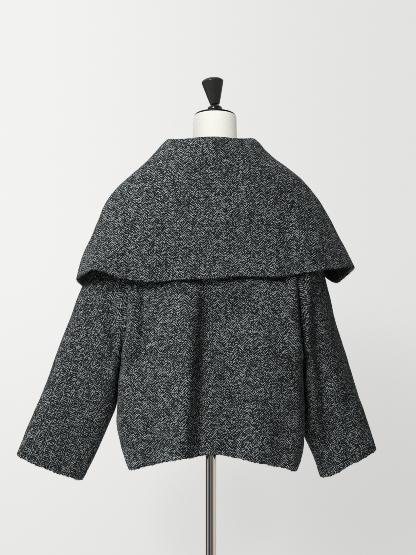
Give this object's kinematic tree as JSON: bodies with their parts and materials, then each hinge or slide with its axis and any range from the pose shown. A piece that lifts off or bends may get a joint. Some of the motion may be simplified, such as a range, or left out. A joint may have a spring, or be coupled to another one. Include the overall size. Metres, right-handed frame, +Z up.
{
  "type": "mantle coat on dress form",
  "caption": "Short herringbone tweed coat with wide sleeves and a cape-like mantle collar, worn by a limbless dress form on a round-foot chrome stand.",
  "frame": {"origin": "on the floor at the middle of the stand's foot", "axes": "+Z up along the pole, the coat's back faces -Y and its front +Y, the wearer's right is towards +X"},
  "size_m": [0.8664, 0.34, 1.5628],
  "materials": {
    "tweed": "napped wool herringbone, charcoal and off-white flecks",
    "lining": "plain black, dull",
    "form_cover": "smooth cream jersey",
    "black_lacquer": "black lacquer",
    "plated_steel": "polished"
  },
  "bodies": {
    "root": {"coat_back": "tweed", "coat_front_left": "tweed", "coat_front_right": "tweed", "sleeve_left": "tweed", "sleeve_right": "tweed", "mantle": "tweed", "mantle_lining": "lining", "form_torso": "form_cover", "form_cap": "black_lacquer", "form_bead": "black_lacquer", "form_finial": "black_lacquer", "stand_pole": "plated_steel", "stand_base": "plated_steel"}
  },
  "joints": []
}
